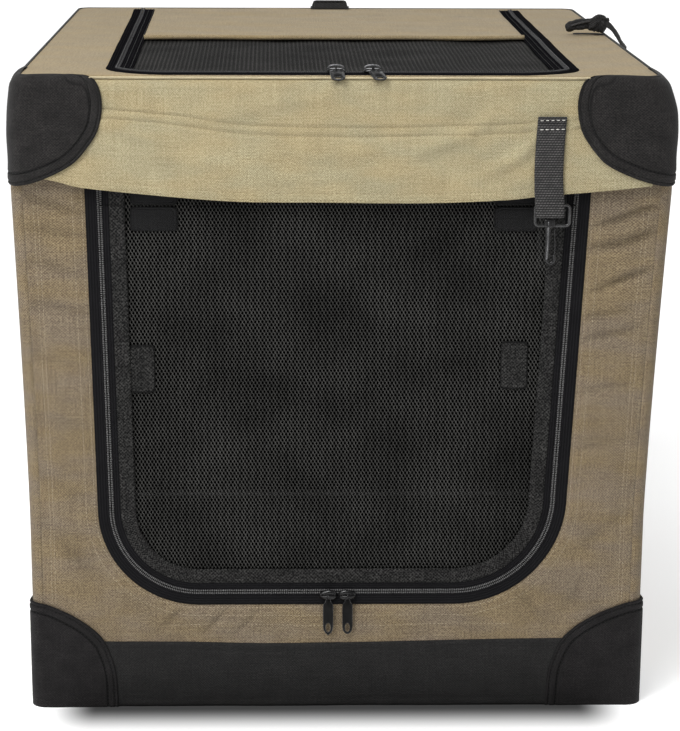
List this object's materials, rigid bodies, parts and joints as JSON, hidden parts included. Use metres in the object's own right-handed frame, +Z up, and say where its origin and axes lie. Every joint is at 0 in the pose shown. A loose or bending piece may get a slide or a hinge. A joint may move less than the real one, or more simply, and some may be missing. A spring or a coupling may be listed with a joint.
{
  "type": "soft folding dog crate",
  "caption": "Folding cloth pet crate: tube frame with folding corner posts, zipped mesh door and roof hatch, dark corner patches, snap hook on a strap",
  "frame": {"origin": "on the ground under the middle of the bounding box", "axes": "+Z up; the door faces -Y; +X is to the right of someone looking at the door"},
  "size_m": [0.61, 0.7216, 0.6456],
  "materials": {
    "tan_cloth": "tan woven polyester, matt",
    "khaki_cloth": "light khaki woven polyester, matt",
    "charcoal_cloth": "charcoal woven polyester, matt",
    "black_webbing": "black ribbed webbing",
    "zip_tape": "black woven zip tape",
    "black_mesh": "black knitted mesh",
    "black_metal": "black painted die casting, satin",
    "black_plastic": "black moulded plastic",
    "frame_steel": "dark powder-coated steel tube"
  },
  "bodies": {
    "base": {"floor_panel": "tan_cloth", "base_corner_front_left": "black_plastic", "base_corner_front_right": "black_plastic", "base_corner_rear_left": "black_plastic", "base_corner_rear_right": "black_plastic", "base_tube_left": "frame_steel", "base_tube_right": "frame_steel", "base_tube_front": "frame_steel", "base_tube_rear": "frame_steel", "wall_front": "tan_cloth", "wall_left": "tan_cloth", "wall_right": "tan_cloth", "wall_rear": "tan_cloth", "window_left": "black_mesh", "window_right": "black_mesh", "door_zip_wall_side": "zip_tape", "bottom_band": "charcoal_cloth", "bottom_patch_left": "charcoal_cloth", "bottom_patch_right": "charcoal_cloth"},
    "top_frame": {"top_corner_front_left": "black_plastic", "top_corner_front_right": "black_plastic", "top_corner_rear_left": "black_plastic", "top_corner_rear_right": "black_plastic", "top_tube_left": "frame_steel", "top_tube_right": "frame_steel", "top_tube_front": "frame_steel", "top_tube_rear": "frame_steel", "top_panel": "tan_cloth", "front_valance": "khaki_cloth", "top_patch_left": "charcoal_cloth", "top_patch_right": "charcoal_cloth", "hatch_zip_top_side": "zip_tape", "side_strap": "black_webbing"},
    "door": {"door_mesh": "black_mesh", "door_zip_door_side": "zip_tape"},
    "hatch": {"hatch_mesh": "black_mesh", "hatch_zip_hatch_side": "zip_tape", "hatch_cover_flap": "tan_cloth"},
    "hook_strap": {"hook_strap": "black_webbing"},
    "strap_ring": {"strap_ring": "black_metal"},
    "snap_hook": {"snap_hook": "black_metal"},
    "hook_gate": {"hook_gate": "black_metal"},
    "rear_grip": {"rear_grip": "black_webbing"},
    "strap_adjuster": {"strap_adjuster": "black_plastic"},
    "lower_post_front_left": {"lower_post_front_left": "frame_steel"},
    "upper_post_front_left": {"upper_post_front_left": "frame_steel"},
    "lower_post_front_right": {"lower_post_front_right": "frame_steel"},
    "upper_post_front_right": {"upper_post_front_right": "frame_steel"},
    "lower_post_rear_left": {"lower_post_rear_left": "frame_steel"},
    "upper_post_rear_left": {"upper_post_rear_left": "frame_steel"},
    "lower_post_rear_right": {"lower_post_rear_right": "frame_steel"},
    "upper_post_rear_right": {"upper_post_rear_right": "frame_steel"},
    "door_left_slider": {"door_zip_left_slider": "black_metal"},
    "door_left_pull": {"door_zip_left_pull": "black_metal"},
    "door_right_slider": {"door_zip_right_slider": "black_metal"},
    "door_right_pull": {"door_zip_right_pull": "black_metal"},
    "hatch_left_slider": {"hatch_zip_left_slider": "black_metal"},
    "hatch_left_pull": {"hatch_zip_left_pull": "black_metal"},
    "hatch_right_slider": {"hatch_zip_right_slider": "black_metal"},
    "hatch_right_pull": {"hatch_zip_right_pull": "black_metal"}
  },
  "joints": [
    {"name": "fold", "type": "hinge", "parent": "base", "child": "lower_post_front_left", "pos_m": [-0.2791, -0.3076, 0.0203], "axis": [-1, 0, 0], "range_deg": [0, 81.5], "deforming": ["wall_front", "wall_left", "wall_right", "wall_rear", "window_left", "window_right", "door_zip_wall_side", "door_mesh", "door_zip_door_side"]},
    {"name": "knee_front_left", "type": "hinge", "parent": "lower_post_front_left", "child": "upper_post_front_left", "pos_m": [-0.2656, -0.3076, 0.313], "axis": [1, 0, 0], "range_deg": [0, 163]},
    {"name": "lower_fold_front_right", "type": "hinge", "parent": "base", "child": "lower_post_front_right", "pos_m": [0.2791, -0.3076, 0.0203], "axis": [-1, 0, 0], "range_deg": [0, 81.5]},
    {"name": "knee_front_right", "type": "hinge", "parent": "lower_post_front_right", "child": "upper_post_front_right", "pos_m": [0.2656, -0.3076, 0.313], "axis": [1, 0, 0], "range_deg": [0, 163]},
    {"name": "lower_fold_rear_left", "type": "hinge", "parent": "base", "child": "lower_post_rear_left", "pos_m": [-0.2791, 0.3285, 0.0203], "axis": [1, 0, 0], "range_deg": [0, 81.5]},
    {"name": "knee_rear_left", "type": "hinge", "parent": "lower_post_rear_left", "child": "upper_post_rear_left", "pos_m": [-0.2656, 0.3285, 0.313], "axis": [-1, 0, 0], "range_deg": [0, 163]},
    {"name": "lower_fold_rear_right", "type": "hinge", "parent": "base", "child": "lower_post_rear_right", "pos_m": [0.2791, 0.3285, 0.0203], "axis": [1, 0, 0], "range_deg": [0, 81.5]},
    {"name": "knee_rear_right", "type": "hinge", "parent": "lower_post_rear_right", "child": "upper_post_rear_right", "pos_m": [0.2656, 0.3285, 0.313], "axis": [-1, 0, 0], "range_deg": [0, 163]},
    {"name": "top_level", "type": "hinge", "parent": "upper_post_front_left", "child": "top_frame", "pos_m": [-0.2656, -0.3076, 0.6057], "axis": [-1, 0, 0], "range_deg": [0, 81.5]},
    {"name": "door_open", "type": "hinge", "parent": "top_frame", "child": "door", "pos_m": [0, -0.3389, 0.503], "axis": [-1, 0, 0], "range_deg": [0, 95]},
    {"name": "hatch_open", "type": "hinge", "parent": "top_frame", "child": "hatch", "pos_m": [0, 0.3248, 0.6273], "axis": [-1, 0, 0], "range_deg": [0, 105]},
    {"name": "door_left_slide", "type": "slide", "parent": "base", "child": "door_left_slider", "axis": [-1, 0, 0], "range_m": [0, 0.125]},
    {"name": "door_left_pull_swing", "type": "hinge", "parent": "door_left_slider", "child": "door_left_pull", "pos_m": [-0.0095, -0.3465, 0.1165], "axis": [1, 0, 0], "range_deg": [-170, 0]},
    {"name": "hatch_left_slide", "type": "slide", "parent": "top_frame", "child": "hatch_left_slider", "axis": [-1, 0, 0], "range_m": [0, 0.15]},
    {"name": "hatch_left_pull_swing", "type": "hinge", "parent": "hatch_left_slider", "child": "hatch_left_pull", "pos_m": [-0.004, -0.3357, 0.6316], "axis": [-1, 0, 0], "range_deg": [0, 170]},
    {"name": "door_right_slide", "type": "slide", "parent": "base", "child": "door_right_slider", "axis": [1, 0, 0], "range_m": [0, 0.125]},
    {"name": "door_right_pull_swing", "type": "hinge", "parent": "door_right_slider", "child": "door_right_pull", "pos_m": [0.0095, -0.3465, 0.1165], "axis": [1, 0, 0], "range_deg": [-170, 0]},
    {"name": "hatch_right_slide", "type": "slide", "parent": "top_frame", "child": "hatch_right_slider", "axis": [1, 0, 0], "range_m": [0, 0.15]},
    {"name": "hatch_right_pull_swing", "type": "hinge", "parent": "hatch_right_slider", "child": "hatch_right_pull", "pos_m": [0.03, -0.3357, 0.6316], "axis": [-1, 0, 0], "range_deg": [0, 170]},
    {"name": "strap_lift", "type": "hinge", "parent": "top_frame", "child": "hook_strap", "pos_m": [0.199, -0.3522, 0.59], "axis": [-1, 0, 0], "range_deg": [0, 55]},
    {"name": "ring_swing", "type": "hinge", "parent": "hook_strap", "child": "strap_ring", "pos_m": [0.199, -0.3558, 0.498], "axis": [-1, 0, 0], "range_deg": [0, 95]},
    {"name": "hook_swivel", "type": "hinge", "parent": "strap_ring", "child": "snap_hook", "pos_m": [0.199, -0.3558, 0.4855], "axis": [0, 0, 1], "continuous": true},
    {"name": "gate_swing", "type": "hinge", "parent": "snap_hook", "child": "hook_gate", "pos_m": [0.199, -0.358, 0.475], "axis": [0, 1, 0], "range_deg": [0, 32], "stiffness_Nm_per_rad": 0.01},
    {"name": "grip_lean", "type": "hinge", "parent": "top_frame", "child": "rear_grip", "pos_m": [0.004, 0.3448, 0.62755], "axis": [-1, 0, 0], "range_deg": [0, 60]},
    {"name": "adjuster_slide", "type": "slide", "parent": "top_frame", "child": "strap_adjuster", "axis": [-1, 0, 0], "range_m": [0, 0.014]}
  ],
  "couplings": [
    {"joint": "knee_front_left", "follows": "fold", "ratio": 2},
    {"joint": "lower_fold_front_right", "follows": "fold", "ratio": 1},
    {"joint": "knee_front_right", "follows": "fold", "ratio": 2},
    {"joint": "lower_fold_rear_left", "follows": "fold", "ratio": 1},
    {"joint": "knee_rear_left", "follows": "fold", "ratio": 2},
    {"joint": "lower_fold_rear_right", "follows": "fold", "ratio": 1},
    {"joint": "knee_rear_right", "follows": "fold", "ratio": 2},
    {"joint": "top_level", "follows": "fold", "ratio": 1},
    {"joint": "strap_lift", "follows": "fold", "ratio": 0.67485},
    {"joint": "ring_swing", "follows": "door_open", "ratio": 1}
  ]
}
